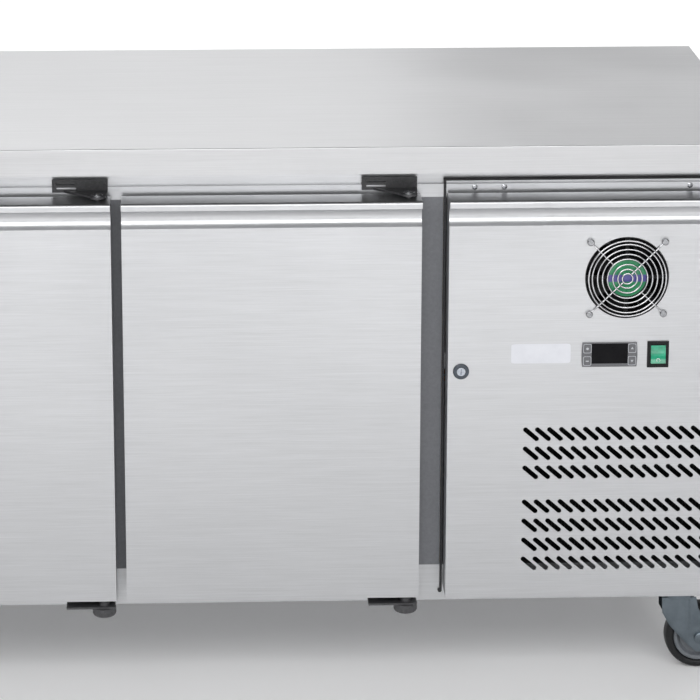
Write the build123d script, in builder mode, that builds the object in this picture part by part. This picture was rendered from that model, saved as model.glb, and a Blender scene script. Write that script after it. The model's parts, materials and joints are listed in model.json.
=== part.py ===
from build123d import *
import math
import os

# Undercounter refrigerator with two hinged doors and a service panel on the right.
# Millimetres. The origin is on the floor under the middle of the worktop,
# +X to the right, the front faces -Y, +Z up.

# ---------------------------------------------------------------- driving dimensions
unit_width = 1360
unit_depth = 700
unit_height = 830
caster_height = 138
worktop_thickness = 38
worktop_lip = 20
worktop_edge_radius = 2

sheet = 1.5
skin = 1.0
overcut = 1
body_half_width = 674
body_back_y = 340
front_y = -290
foam_front_y = -282
body_bottom_z = caster_height
body_top_z = unit_height - worktop_thickness

# Cold room: the clear space inside the liner, and the centre post between the doors.
room_left_x = -612
room_right_x = 162
room_back_y = 288
room_bottom_z = 205
room_top_z = 722
post_left_x = -273
post_right_x = -177
post_back_y = -232
bulkhead_x = 240
frame_right_x = 236
frame_bottom_z = 192.3
frame_top_z = 743.5

# Doors and service panel share the same section with a pull lip along the top edge.
door_width = 420
door_pitch = 435
door_left_edges = {"left": -652.5, "right": -652.5 + door_pitch}
door_face_y = -340
door_back_y = -300
door_bottom_z = 161
door_top_z = 751
lip_front_y = -350
lip_bottom_z = 741
grip_bottom_z = 713
grip_depth = 7
pivot_inset = 18
pivot_y = -325
pin_radius = 4
running_clearance = 0.05
pin_hole_radius = pin_radius + running_clearance
gasket_width = 18
gasket_gap = 2

panel_left_x = 241
panel_right_x = 673
panel_pivot_x = panel_right_x - pivot_inset

# Service panel fittings.
fan_x = 492.3
fan_z = 636
fan_hole_radius = 59.3
fan_screw_pitch = 104.8
controller_x = 470
controller_z = 523.9
controller_width = 79
controller_height = 35
switch_x = 539
switch_z = 523.5
lock_x = 259.6
lock_z = 501
vent_pitch = 17.14
vent_columns = 16
vent_first_x = 360.8
vent_row_zs = (406, 377.4, 348.8, 297.5, 268.6, 239.7, 210.8)
vent_width = 7
vent_centre_distance = 21
vent_angle = -41

# Casters.
wheel_radius = 50
wheel_width = 30
caster_trail = 32
caster_places = {
    "front_left": (-598, -214),
    "front_right": (598, -214),
    "rear_left": (-598, 250),
    "rear_right": (598, 250),
}

os.makedirs("parts", exist_ok=True)


def middle(span):
    """The middle of a (low, high) pair."""
    return (span[0] + span[1]) / 2


def block(x_span, y_span, z_span, mode=Mode.ADD):
    """A box between three (low, high) pairs, in the part being built."""
    with Locations((middle(x_span), middle(y_span), middle(z_span))):
        Box(x_span[1] - x_span[0], y_span[1] - y_span[0], z_span[1] - z_span[0], mode=mode)


def upright(x, y, z_span, radius, mode=Mode.ADD):
    """A vertical cylinder, in the part being built."""
    with Locations((x, y, middle(z_span))):
        Cylinder(radius, z_span[1] - z_span[0], mode=mode)


def fore_and_aft(x, z, y_span, radius, mode=Mode.ADD):
    """A cylinder along Y, in the part being built."""
    with Locations((x, middle(y_span), z)):
        Cylinder(radius, y_span[1] - y_span[0], rotation=(90, 0, 0), mode=mode)


def save(piece, name):
    """Label a finished piece and write its STEP file."""
    piece.part.label = name
    export_step(piece.part, f"parts/{name}.step")


# ---------------------------------------------------------------- outer sheets
side_top_z = body_top_z
side_y = (front_y, body_back_y - sheet)
for side, outer_x in {"left": -body_half_width, "right": body_half_width}.items():
    inner_x = outer_x - math.copysign(sheet, outer_x)
    with BuildPart() as side_panel:
        block(sorted((outer_x, inner_x)), side_y, (body_bottom_z + sheet, side_top_z))
    save(side_panel, f"side_panel_{side}")

# The rear sheet has a louvred field behind the machine space.
rear_slot_x = 456
rear_slot_rows = 12
rear_slot_pitch = 24
rear_slot_first_z = 220
rear_slot_columns = 2
rear_slot_spacing = 150
rear_slot_size = (120, 8)
with BuildPart() as rear_panel:
    block((-body_half_width, body_half_width), (body_back_y - sheet, body_back_y),
          (body_bottom_z + sheet, body_top_z))
    rear_slot_z = rear_slot_first_z + rear_slot_pitch * (rear_slot_rows - 1) / 2
    slot_origin = (rear_slot_x, body_back_y, rear_slot_z)
    with BuildSketch(Plane(origin=slot_origin, x_dir=(1, 0, 0), z_dir=(0, -1, 0))):
        with GridLocations(rear_slot_spacing, rear_slot_pitch, rear_slot_columns, rear_slot_rows):
            SlotOverall(*rear_slot_size)
    extrude(amount=sheet, mode=Mode.SUBTRACT)
save(rear_panel, "rear_panel")

with BuildPart() as base_panel:
    block((-body_half_width, body_half_width), (front_y, body_back_y), (body_bottom_z, body_bottom_z + sheet))
save(base_panel, "base_panel")

# ---------------------------------------------------------------- cold box
foam_x = (-body_half_width + sheet, bulkhead_x - sheet)
foam_y = (foam_front_y, body_back_y - sheet)
foam_z = (body_bottom_z + sheet, body_top_z)
with BuildPart() as insulation:
    block(foam_x, foam_y, foam_z)
    block((room_left_x - skin, room_right_x + skin), (foam_front_y, room_back_y + skin),
          (room_bottom_z - skin, room_top_z + skin), Mode.SUBTRACT)
    block((post_left_x + skin, post_right_x - skin), (foam_front_y, post_back_y - skin),
          (room_bottom_z - skin, room_top_z + skin))
save(insulation, "insulation")

with BuildPart() as inner_liner:
    block((room_left_x - skin, room_right_x + skin), (foam_front_y, room_back_y + skin),
          (room_bottom_z - skin, room_top_z + skin))
    block((room_left_x, room_right_x), (foam_front_y, room_back_y), (room_bottom_z, room_top_z),
          Mode.SUBTRACT)
    block((post_left_x, post_right_x), (foam_front_y, post_back_y), (room_bottom_z - skin, room_top_z + skin))
    block((post_left_x + skin, post_right_x - skin), (foam_front_y, post_back_y - skin),
          (room_bottom_z - skin, room_top_z + skin), Mode.SUBTRACT)
save(inner_liner, "inner_liner")

# The bulkhead sheet closes the cold box. A tab on its front edge carries the keeper strip that the
# panel's lock turns behind; the strip is a separate piece, spot-welded on with a hairline gap.
keeper_y = (-286, -284)
keeper_z = (490, 512)
keeper_reach = 10
weld_gap = 0.02
with BuildPart() as bulkhead_sheet:
    block((bulkhead_x - sheet, bulkhead_x), foam_y, foam_z)
    block((bulkhead_x - sheet, bulkhead_x), (keeper_y[0], foam_front_y), keeper_z)
    block((bulkhead_x + weld_gap, bulkhead_x + keeper_reach), keeper_y, keeper_z)
save(bulkhead_sheet, "bulkhead_sheet")

# ---------------------------------------------------------------- worktop
with BuildPart() as worktop:
    with BuildSketch(Plane.XY.offset(body_top_z)):
        Rectangle(unit_width, unit_depth)
    extrude(amount=worktop_thickness)
    top_face = worktop.faces().sort_by(Axis.Z)[-1]
    fillet(top_face.edges(), radius=worktop_edge_radius)
    inside_width = unit_width - 2 * sheet
    inside_depth = unit_depth - 2 * sheet
    with BuildSketch(Plane.XY.offset(body_top_z + sheet)):
        Rectangle(inside_width, inside_depth)
    extrude(amount=worktop_thickness - 2 * sheet, mode=Mode.SUBTRACT)
    with BuildSketch(Plane.XY.offset(body_top_z)):
        Rectangle(inside_width - 2 * worktop_lip, inside_depth - 2 * worktop_lip)
    extrude(amount=sheet, mode=Mode.SUBTRACT)
save(worktop, "worktop")

# ---------------------------------------------------------------- front frame
rail_x = (-body_half_width + sheet, body_half_width - sheet)
rail_step = 6
rail_step_y = front_y + rail_step
rail_step_z = 762
with BuildPart() as front_top_rail:
    block(rail_x, (front_y, front_y + sheet), (frame_top_z, rail_step_z))
    block(rail_x, (front_y, rail_step_y + sheet), (rail_step_z - sheet, rail_step_z))
    block(rail_x, (rail_step_y, rail_step_y + sheet), (rail_step_z - sheet, body_top_z))
save(front_top_rail, "front_top_rail")

with BuildPart() as front_bottom_rail:
    block(rail_x, (front_y, front_y + sheet), (body_bottom_z + sheet, frame_bottom_z))
    block(rail_x, (front_y, foam_front_y), (frame_bottom_z - sheet, frame_bottom_z))
save(front_bottom_rail, "front_bottom_rail")

with BuildPart() as breaker_frame:
    block((rail_x[0], frame_right_x), (front_y, foam_front_y), (frame_bottom_z, frame_top_z))
    for opening_x in ((room_left_x, post_left_x), (post_right_x, room_right_x)):
        block(opening_x, (front_y, foam_front_y), (room_bottom_z, room_top_z), Mode.SUBTRACT)
save(breaker_frame, "breaker_frame")

# Rubber seal beside and above the service panel, with a moulded bead at its lower end.
seal_x = (236.3, 239.7)
seal_depth = 3.5
seal_front_y = front_y - seal_depth
seal_bottom_z = 150.5
seal_top_z = 770
seal_bead_radius = 3
seal_top_thickness = 2.5
with BuildPart() as panel_seal:
    block(seal_x, (seal_front_y, front_y), (seal_bottom_z + seal_bead_radius, seal_top_z))
    block((seal_x[0], rail_x[1]), (seal_front_y, rail_step_y), (seal_top_z - seal_top_thickness, seal_top_z))
    fore_and_aft(seal_x[1] - seal_bead_radius, seal_bottom_z + seal_bead_radius,
                 (seal_front_y, front_y), seal_bead_radius)
save(panel_seal, "panel_seal")

# ---------------------------------------------------------------- shelves
post_size = 10
post_depth = 16
support_post_ys = (-215, 225)
runner_y = (-223, 240)
runner_width = 17
shelf_z = 448
runner_bottom_z = shelf_z - sheet
runner_rise = 9
runner_top_z = shelf_z + runner_rise
compartments = {"left": (room_left_x, post_left_x), "right": (post_right_x, room_right_x)}
with BuildPart() as shelf_supports:
    for wall_pair in compartments.values():
        for wall_x, inward in ((wall_pair[0], 1), (wall_pair[1], -1)):
            face_x = wall_x + inward * post_size
            for post_y in support_post_ys:
                block(sorted((wall_x, face_x)), (post_y - post_depth / 2, post_y + post_depth / 2),
                      (room_bottom_z, room_top_z))
            back_x = face_x + inward * weld_gap
            edge_x = face_x + inward * runner_width
            block(sorted((back_x, face_x + inward * sheet)), runner_y, (runner_bottom_z, runner_top_z))
            block(sorted((back_x, edge_x)), runner_y, (runner_bottom_z, shelf_z))
save(shelf_supports, "shelf_supports")

shelf_play = 2
shelf_side_gap = post_size + sheet + shelf_play
shelf_y = (-245, 262)
shelf_frame = 6
shelf_corner_radius = 14
shelf_wire_radius = 1.75
shelf_wire_count = 12
shelf_bar_ys = (-90, 105)
for side, wall_pair in compartments.items():
    shelf_x = (wall_pair[0] + shelf_side_gap, wall_pair[1] - shelf_side_gap)
    shelf_width = shelf_x[1] - shelf_x[0]
    shelf_depth = shelf_y[1] - shelf_y[0]
    wire_pitch = (shelf_width - shelf_frame) / (shelf_wire_count + 1)
    wire_z = shelf_z + shelf_frame / 2
    with BuildPart() as wire_shelf:
        with BuildSketch(Plane.XY.offset(shelf_z)):
            with Locations((middle(shelf_x), middle(shelf_y))):
                RectangleRounded(shelf_width, shelf_depth, shelf_corner_radius)
                RectangleRounded(shelf_width - 2 * shelf_frame, shelf_depth - 2 * shelf_frame,
                                 shelf_corner_radius - shelf_frame, mode=Mode.SUBTRACT)
        extrude(amount=shelf_frame)
        for bar_y in shelf_bar_ys:
            block((shelf_x[0] + shelf_frame / 2, shelf_x[1] - shelf_frame / 2),
                  (bar_y - shelf_frame / 2, bar_y + shelf_frame / 2),
                  (shelf_z, shelf_z + shelf_frame))
        for wire in range(shelf_wire_count):
            fore_and_aft(shelf_x[0] + shelf_frame / 2 + wire_pitch * (wire + 1), wire_z,
                         (shelf_y[0] + shelf_frame / 2, shelf_y[1] - shelf_frame / 2), shelf_wire_radius)
    save(wire_shelf, f"wire_shelf_{side}")

# ---------------------------------------------------------------- evaporator column behind the centre post
column_x = (-266, -184)
column_y = (-95, 287)
column_z = (262, 712)
column_mid_x = middle(column_x)
cover_sheet = 1.2
evaporator_fan_z = 640
evaporator_fan_size = 78
evaporator_fan_depth = 25
evaporator_fan_hole = 35
cover_slot_middle = (110, 500)
cover_slot_pitch = (110, 26)
cover_slot_counts = (3, 9)
cover_slot_size = (90, 8)
with BuildPart() as evaporator_cover:
    block(column_x, column_y, column_z)
    block((column_x[0] + cover_sheet, column_x[1] - cover_sheet), (column_y[0] + cover_sheet, column_y[1]),
          (column_z[0], column_z[1] - cover_sheet), Mode.SUBTRACT)
    fore_and_aft(column_mid_x, evaporator_fan_z, (column_y[0], column_y[0] + cover_sheet),
                 evaporator_fan_hole, Mode.SUBTRACT)
    with BuildSketch(Plane.YZ.offset(column_x[0])):
        with Locations(cover_slot_middle):
            with GridLocations(*cover_slot_pitch, *cover_slot_counts):
                SlotOverall(*cover_slot_size)
    extrude(amount=column_x[1] - column_x[0], mode=Mode.SUBTRACT)
save(evaporator_cover, "evaporator_cover")

coil_x = (-258, -192)
coil_y = (-45, 270)
coil_z = (300, 700)
coil_fin_count = 40
coil_fin = 0.8
coil_tube_radius = 4.75
coil_tube_offset = 17
coil_tube_count = 8
coil_tube_pitch = 50
coil_first_tube = 25
with BuildPart() as evaporator_coil:
    with Locations((column_mid_x, middle(coil_y), middle(coil_z))):
        with GridLocations(0, (coil_y[1] - coil_y[0] - coil_fin) / (coil_fin_count - 1), 1, coil_fin_count):
            Box(coil_x[1] - coil_x[0], coil_fin, coil_z[1] - coil_z[0])
    for tube_x in (column_mid_x - coil_tube_offset, column_mid_x + coil_tube_offset):
        for tube in range(coil_tube_count):
            tube_z = coil_z[0] + coil_first_tube + coil_tube_pitch * tube
            fore_and_aft(tube_x, tube_z, coil_y, coil_tube_radius)
save(evaporator_coil, "evaporator_coil")

fan_front_y = column_y[0] + cover_sheet
evaporator_hub_radius = 14
evaporator_shaft_radius = 2.5
evaporator_frame_bore = 36
evaporator_hub_depth = 5
evaporator_arm = (74, 4, 5)
with BuildPart() as evaporator_fan_frame:
    fan_span_y = (fan_front_y, fan_front_y + evaporator_fan_depth)
    block((column_mid_x - evaporator_fan_size / 2, column_mid_x + evaporator_fan_size / 2), fan_span_y,
          (evaporator_fan_z - evaporator_fan_size / 2, evaporator_fan_z + evaporator_fan_size / 2))
    fore_and_aft(column_mid_x, evaporator_fan_z, fan_span_y, evaporator_frame_bore, Mode.SUBTRACT)
    hub_y = (fan_span_y[1] - evaporator_hub_depth, fan_span_y[1])
    fore_and_aft(column_mid_x, evaporator_fan_z, hub_y, evaporator_hub_radius)
    arm_length, arm_depth, arm_width = evaporator_arm
    with Locations((column_mid_x, fan_span_y[1] - arm_depth / 2, evaporator_fan_z)):
        Box(arm_length, arm_depth, arm_width)
        Box(arm_width, arm_depth, arm_length)
    fore_and_aft(column_mid_x, evaporator_fan_z, hub_y, evaporator_shaft_radius + running_clearance,
                 Mode.SUBTRACT)
save(evaporator_fan_frame, "evaporator_fan_frame")


def fan_wheel(x, z, y_span, hub_radius, tip_radius, blades, shaft_radius, shaft_y, bore=False):
    """An axial fan wheel along Y: a hub, pitched blades, and a shaft or the bore for one."""
    depth = y_span[1] - y_span[0]
    blade_angle = 38
    blade_thickness = 1.6
    blade_share = 0.95
    blade_root = 2
    trim_reach = 60
    blade_length = tip_radius - hub_radius + blade_root
    blade_mid = hub_radius - blade_root + blade_length / 2
    with BuildPart() as wheel:
        fore_and_aft(x, z, y_span, hub_radius)
        for blade in range(blades):
            turn = 360 / blades * blade
            with Locations(Location((x, middle(y_span), z), (0, turn, 0)) * Location((blade_mid, 0, 0))):
                Box(blade_length, blade_thickness, depth * blade_share, rotation=(blade_angle, 0, 0))
        fore_and_aft(x, z, (y_span[0] - trim_reach, y_span[1] + trim_reach), tip_radius, Mode.INTERSECT)
        if bore:
            fore_and_aft(x, z, shaft_y, shaft_radius + running_clearance, Mode.SUBTRACT)
        else:
            fore_and_aft(x, z, shaft_y, shaft_radius)
    return wheel


rotor_gaps = (2, 6)
rotor_tip_radius = 33
small_fan_blades = 7
shaft_overlap = 1
rotor_y = (fan_front_y + rotor_gaps[0], fan_front_y + evaporator_fan_depth - rotor_gaps[1])
evaporator_fan_rotor = fan_wheel(column_mid_x, evaporator_fan_z, rotor_y, evaporator_hub_radius,
                                 rotor_tip_radius, small_fan_blades, evaporator_shaft_radius,
                                 (rotor_y[1] - shaft_overlap, fan_front_y + evaporator_fan_depth))
save(evaporator_fan_rotor, "evaporator_fan_rotor")

tray_side_gap = 3
tray_x = (column_x[0] + tray_side_gap, column_x[1] - tray_side_gap)
tray_y = (-60, 280)
tray_z = (268, 288)
with BuildPart() as drip_tray:
    block(tray_x, tray_y, tray_z)
    block((tray_x[0] + skin, tray_x[1] - skin), (tray_y[0] + skin, tray_y[1] - skin),
          (tray_z[0] + skin, tray_z[1]), Mode.SUBTRACT)
save(drip_tray, "drip_tray")

# ---------------------------------------------------------------- condensing unit
floor_z = body_bottom_z + sheet
base_x = (262, 652)
base_y = (-262, 250)
base_flange = 24
base_flange_z = floor_z + base_flange
with BuildPart() as unit_base:
    block(base_x, base_y, (floor_z, base_flange_z))
    block((base_x[0] + sheet, base_x[1] - sheet), (base_y[0] + sheet, base_y[1] - sheet),
          (floor_z + sheet, base_flange_z), Mode.SUBTRACT)
save(unit_base, "unit_base")

base_top_z = floor_z + sheet
compressor_x = 455
compressor_y = 70
compressor_radius = 78
shell_round = 40
grommet_height = 9
grommet_radius = 11
grommet_pitch = (180, 118)
foot_size = (210, 150)
foot_thickness = 4
terminal_half_width = 35
terminal_reach = 22
terminal_z = (230, 300)
foot_z = (base_top_z + grommet_height, base_top_z + grommet_height + foot_thickness)
shell_bottom_z = foot_z[1]
shell_top_z = 372
with BuildPart() as compressor:
    upright(compressor_x, compressor_y, (shell_bottom_z, shell_top_z), compressor_radius)
    fillet(compressor.faces().sort_by(Axis.Z)[-1].edges(), radius=shell_round)
    with Locations((compressor_x, compressor_y, middle(foot_z))):
        Box(*foot_size, foot_thickness)
    with Locations((compressor_x, compressor_y, middle((base_top_z, foot_z[0])))):
        with GridLocations(*grommet_pitch, 2, 2):
            Cylinder(grommet_radius, grommet_height)
    block((compressor_x - terminal_half_width, compressor_x + terminal_half_width),
          (compressor_y - compressor_radius - terminal_reach, compressor_y), terminal_z)
save(compressor, "compressor")

condenser_x = (345, 635)
condenser_y = (-252, -200)
condenser_z = (190, 425)
condenser_fin_count = 60
condenser_tube_count = 8
condenser_tube_inset = 13
end_plate = 4
with BuildPart() as condenser_coil:
    with Locations((middle(condenser_x), middle(condenser_y), middle(condenser_z))):
        fin_pitch = (condenser_x[1] - condenser_x[0]) / (condenser_fin_count - 1)
        with GridLocations(fin_pitch, 0, condenser_fin_count, 1):
            Box(coil_fin, condenser_y[1] - condenser_y[0], condenser_z[1] - condenser_z[0])
    tube_pitch = (condenser_z[1] - condenser_z[0]) / condenser_tube_count
    for tube_y in (condenser_y[0] + condenser_tube_inset, condenser_y[1] - condenser_tube_inset):
        for tube in range(condenser_tube_count):
            with Locations((middle(condenser_x), tube_y, condenser_z[0] + tube_pitch * (tube + 0.5))):
                Cylinder(coil_tube_radius, condenser_x[1] - condenser_x[0], rotation=(0, 90, 0))
    for plate_x in (condenser_x[0] - end_plate, condenser_x[1]):
        block((plate_x, plate_x + end_plate), condenser_y, (base_top_z, condenser_z[1]))
save(condenser_coil, "condenser_coil")

condenser_fan_x = 490
condenser_fan_z = 308
shroud_radius = 106
shroud_gap = 0.5
shroud_depth = 24
shroud_sheet = 2
shroud_wall = 3
shroud_y = (condenser_y[1] + shroud_gap, condenser_y[1] + shroud_depth)
motor_y = (-160, -100)
motor_radius = 38
motor_shaft_radius = 4
motor_shaft_reach = 12
arm_turns = (45, 135, 225, 315)
arm_strip = (4, 14)
arm_root = 2
arm_end_y = motor_y[0] + arm_strip[0]
with BuildPart() as condenser_fan_mount:
    block(condenser_x, (shroud_y[0], shroud_y[0] + shroud_sheet), condenser_z)
    fore_and_aft(condenser_fan_x, condenser_fan_z, shroud_y, shroud_radius + shroud_wall)
    fore_and_aft(condenser_fan_x, condenser_fan_z, shroud_y, shroud_radius, Mode.SUBTRACT)
    fore_and_aft(condenser_fan_x, condenser_fan_z, motor_y, motor_radius)
    fore_and_aft(condenser_fan_x, condenser_fan_z, (motor_y[0] - motor_shaft_reach, motor_y[0]),
                 motor_shaft_radius)
    arm_reach = shroud_radius + shroud_wall
    arm_mid_x = middle((motor_radius - arm_root, arm_reach))
    arm_leg_y = (shroud_y[1] - overcut, arm_end_y)
    for arm_turn in arm_turns:
        arm_place = Location((condenser_fan_x, 0, condenser_fan_z), (0, arm_turn, 0))
        with Locations(arm_place * Location((arm_mid_x, middle((motor_y[0], arm_end_y)), 0))):
            Box(arm_reach - motor_radius + arm_root, *arm_strip)
        with Locations(arm_place * Location((arm_reach - shroud_wall / 2, middle(arm_leg_y), 0))):
            Box(shroud_wall, arm_leg_y[1] - arm_leg_y[0], arm_strip[1])
save(condenser_fan_mount, "condenser_fan_mount")

condenser_blade_y = (-192, -166)
condenser_bore_y = (-172.5, -165)
condenser_hub_radius = 22
condenser_tip_radius = 100
condenser_blade_count = 5
condenser_fan_blades = fan_wheel(condenser_fan_x, condenser_fan_z, condenser_blade_y, condenser_hub_radius,
                                 condenser_tip_radius, condenser_blade_count, motor_shaft_radius,
                                 condenser_bore_y, bore=True)
save(condenser_fan_blades, "condenser_fan_blades")

# Copper pipes: discharge to the condenser, liquid line with its filter drier, suction back to the compressor.
pipe_radius = 4
pipe_bend_radius = 20
discharge_x = 610
discharge_z = (300, 455)
header_y = middle(condenser_y)
liquid_x = 305
liquid_y = 120
liquid_z = (215, 360)
suction_x = 345
suction_y = 180
suction_z = (250, 330)
pipe_routes = (
    ((compressor_x + compressor_radius, compressor_y, discharge_z[0]),
     (discharge_x, compressor_y, discharge_z[0]), (discharge_x, compressor_y, discharge_z[1]),
     (discharge_x, header_y, discharge_z[1]), (discharge_x, header_y, condenser_z[1])),
    ((condenser_x[0] - end_plate, header_y, liquid_z[0]), (liquid_x, header_y, liquid_z[0]),
     (liquid_x, liquid_y, liquid_z[0]), (liquid_x, liquid_y, liquid_z[1]),
     (bulkhead_x, liquid_y, liquid_z[1])),
    ((bulkhead_x, suction_y, suction_z[1]), (suction_x, suction_y, suction_z[1]),
     (suction_x, suction_y, suction_z[0]), (suction_x, compressor_y, suction_z[0]),
     (compressor_x - compressor_radius, compressor_y, suction_z[0])),
)
drier_radius = 11
drier_y = (-70, 20)
with BuildPart() as refrigerant_pipes:
    for route in pipe_routes:
        with BuildLine() as pipe_path:
            FilletPolyline(*route, radius=pipe_bend_radius)
        with BuildSketch(Plane(origin=pipe_path.line @ 0, z_dir=pipe_path.line % 0)):
            Circle(pipe_radius)
        sweep(path=pipe_path.line)
    fore_and_aft(liquid_x, liquid_z[0], drier_y, drier_radius)
save(refrigerant_pipes, "refrigerant_pipes")

# ---------------------------------------------------------------- hinges
door_pivots = [edge + door_width - pivot_inset for edge in door_left_edges.values()]
plate = 3
upper_arm_z = (755, 758)
upper_plate_top_z = 773.5
panel_plate_top_z = 766
lower_arm_z = (148, 151)
lower_plate_top_z = 182
arm_tip_radius = 12
pin_depth = 12
collar_radius = 8
upper_reach = 64
panel_reach = 24
right_reach = 14
arm_share = 0.75
hinge_slot_zs = (767.5, 760.5)
hinge_slot_inset = 44
hinge_slot_size = (28, 3)
upper_places = ((door_pivots[0], upper_reach, upper_plate_top_z),
                (door_pivots[1], upper_reach, upper_plate_top_z),
                (panel_pivot_x, panel_reach, panel_plate_top_z))
with BuildPart() as upper_hinges:
    for hinge_x, left_reach, plate_top_z in upper_places:
        block((hinge_x - left_reach, hinge_x + right_reach), (front_y - plate, front_y),
              (upper_arm_z[0], plate_top_z))
        with BuildSketch(Plane.XY.offset(upper_arm_z[0])):
            with BuildLine():
                Polyline((hinge_x - left_reach * arm_share, front_y - plate),
                         (hinge_x - arm_tip_radius, pivot_y), (hinge_x + arm_tip_radius, pivot_y),
                         (hinge_x + right_reach, front_y - plate), close=True)
            make_face()
            with Locations((hinge_x, pivot_y)):
                Circle(arm_tip_radius)
        extrude(amount=plate)
        upright(hinge_x, pivot_y, (door_top_z - pin_depth, upper_arm_z[0]), pin_radius)
        if left_reach > panel_reach:
            slot_x = hinge_x - hinge_slot_inset
            for slot_z in hinge_slot_zs:
                with BuildSketch(Plane(origin=(slot_x, front_y, slot_z), x_dir=(1, 0, 0), z_dir=(0, -1, 0))):
                    SlotOverall(*hinge_slot_size)
                extrude(amount=plate, mode=Mode.SUBTRACT)
save(upper_hinges, "upper_hinges")

knuckle_radius = 17
knuckle_bottom_z = 134.5
knuckle_round = 6
lower_reach = 54
lower_right_reach = 16
collar_gap = 0.4
collar_top_z = door_bottom_z - collar_gap
lower_places = ((door_pivots[0], lower_reach), (door_pivots[1], lower_reach), (panel_pivot_x, panel_reach))
with BuildPart() as lower_hinges:
    for hinge_x, left_reach in lower_places:
        plate_x = (hinge_x - left_reach, hinge_x + lower_right_reach)
        block(plate_x, (front_y - plate, front_y), (lower_arm_z[0], lower_plate_top_z))
        block(plate_x, (pivot_y - arm_tip_radius, front_y - plate), lower_arm_z)
        upright(hinge_x, pivot_y, (lower_arm_z[1], collar_top_z), collar_radius)
        upright(hinge_x, pivot_y, (collar_top_z, door_bottom_z + pin_depth), pin_radius)
        if left_reach > panel_reach:
            upright(hinge_x, pivot_y, (knuckle_bottom_z, lower_arm_z[0]), knuckle_radius)
    low_rims = lower_hinges.edges().filter_by(GeomType.CIRCLE).group_by(Axis.Z)[0]
    fillet(low_rims, radius=knuckle_round)
save(lower_hinges, "lower_hinges")


# ---------------------------------------------------------------- doors
# One closed section, on axes Y and Z, shared by the doors and the panel: a flat face, a hollow
# grip above it, and the lip that overhangs the grip.
rim_radius = 4
grip_bulge = 2
grip_mouth_y = door_face_y - 3
with BuildSketch(Plane.YZ) as front_section:
    with BuildLine():
        Polyline((door_back_y, door_bottom_z), (door_face_y, door_bottom_z), (door_face_y, grip_bottom_z))
        ThreePointArc((door_face_y, grip_bottom_z),
                      (door_face_y + grip_depth, middle((grip_bottom_z, lip_bottom_z)) + grip_bulge),
                      (grip_mouth_y, lip_bottom_z))
        Polyline((grip_mouth_y, lip_bottom_z), (lip_front_y, lip_bottom_z),
                 (lip_front_y, door_top_z - rim_radius))
        RadiusArc((lip_front_y, door_top_z - rim_radius), (lip_front_y + rim_radius, door_top_z), rim_radius)
        Polyline((lip_front_y + rim_radius, door_top_z), (door_back_y, door_top_z),
                 (door_back_y, door_bottom_z))
    make_face()
with BuildSketch(Plane.YZ) as door_core_section:
    add(front_section.sketch_local)
    offset(amount=-skin, kind=Kind.INTERSECTION, mode=Mode.REPLACE)
with BuildSketch(Plane.YZ) as panel_core_section:
    add(front_section.sketch_local)
    offset(amount=-sheet, kind=Kind.INTERSECTION, mode=Mode.REPLACE)

foam_pin_gap = 0.6
foam_pin_room = 2
pin_hole_z = ((door_bottom_z - overcut, door_bottom_z + 2 * sheet),
              (door_top_z - 2 * sheet, door_top_z + overcut))
liner_inset = 6
liner_rise = 6
liner_round = 3
gasket_compression = 0.5
for side, left_x in door_left_edges.items():
    right_x = left_x + door_width
    pivot_x = right_x - pivot_inset

    with BuildPart() as door_skin:
        with BuildSketch(Plane.YZ.offset(left_x)):
            add(front_section.sketch_local)
        extrude(amount=door_width)
        with BuildSketch(Plane.YZ.offset(left_x + skin)):
            add(door_core_section.sketch_local)
        extrude(amount=door_width - 2 * skin, mode=Mode.SUBTRACT)
        block((left_x + skin, right_x - skin), (door_back_y - 2 * skin, door_back_y),
              (door_bottom_z + skin, door_top_z - skin), Mode.SUBTRACT)
        for hole_z in pin_hole_z:
            upright(pivot_x, pivot_y, hole_z, pin_hole_radius, Mode.SUBTRACT)
    save(door_skin, f"door_{side}_skin")

    with BuildPart() as door_foam:
        with BuildSketch(Plane.YZ.offset(left_x + skin)):
            add(door_core_section.sketch_local)
        extrude(amount=door_width - 2 * skin)
        for pin_z in ((door_bottom_z, door_bottom_z + pin_depth + foam_pin_room),
                      (door_top_z - pin_depth - foam_pin_room, door_top_z)):
            upright(pivot_x, pivot_y, pin_z, pin_radius + foam_pin_gap, Mode.SUBTRACT)
    save(door_foam, f"door_{side}_foam")

    opening_x = compartments[side]
    with BuildPart() as door_liner:
        block((left_x + skin, right_x - skin), (door_back_y - skin, door_back_y),
              (door_bottom_z + skin, door_top_z - skin))
        block((opening_x[0] + liner_inset, opening_x[1] - liner_inset),
              (door_back_y, door_back_y + liner_rise),
              (room_bottom_z + liner_inset, room_top_z - liner_inset))
        raised_edges = door_liner.faces().sort_by(Axis.Y)[-1].edges()
        fillet(raised_edges, radius=liner_round)
    save(door_liner, f"door_{side}_liner")

    gasket_inner_x = (opening_x[0] - gasket_gap, opening_x[1] + gasket_gap)
    gasket_inner_z = (room_bottom_z - gasket_gap, room_top_z + gasket_gap)
    gasket_y = (door_back_y, front_y - gasket_compression)
    with BuildPart() as door_gasket:
        block((gasket_inner_x[0] - gasket_width, gasket_inner_x[1] + gasket_width), gasket_y,
              (gasket_inner_z[0] - gasket_width, gasket_inner_z[1] + gasket_width))
        block(gasket_inner_x, gasket_y, gasket_inner_z, Mode.SUBTRACT)
    save(door_gasket, f"door_{side}_gasket")

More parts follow.
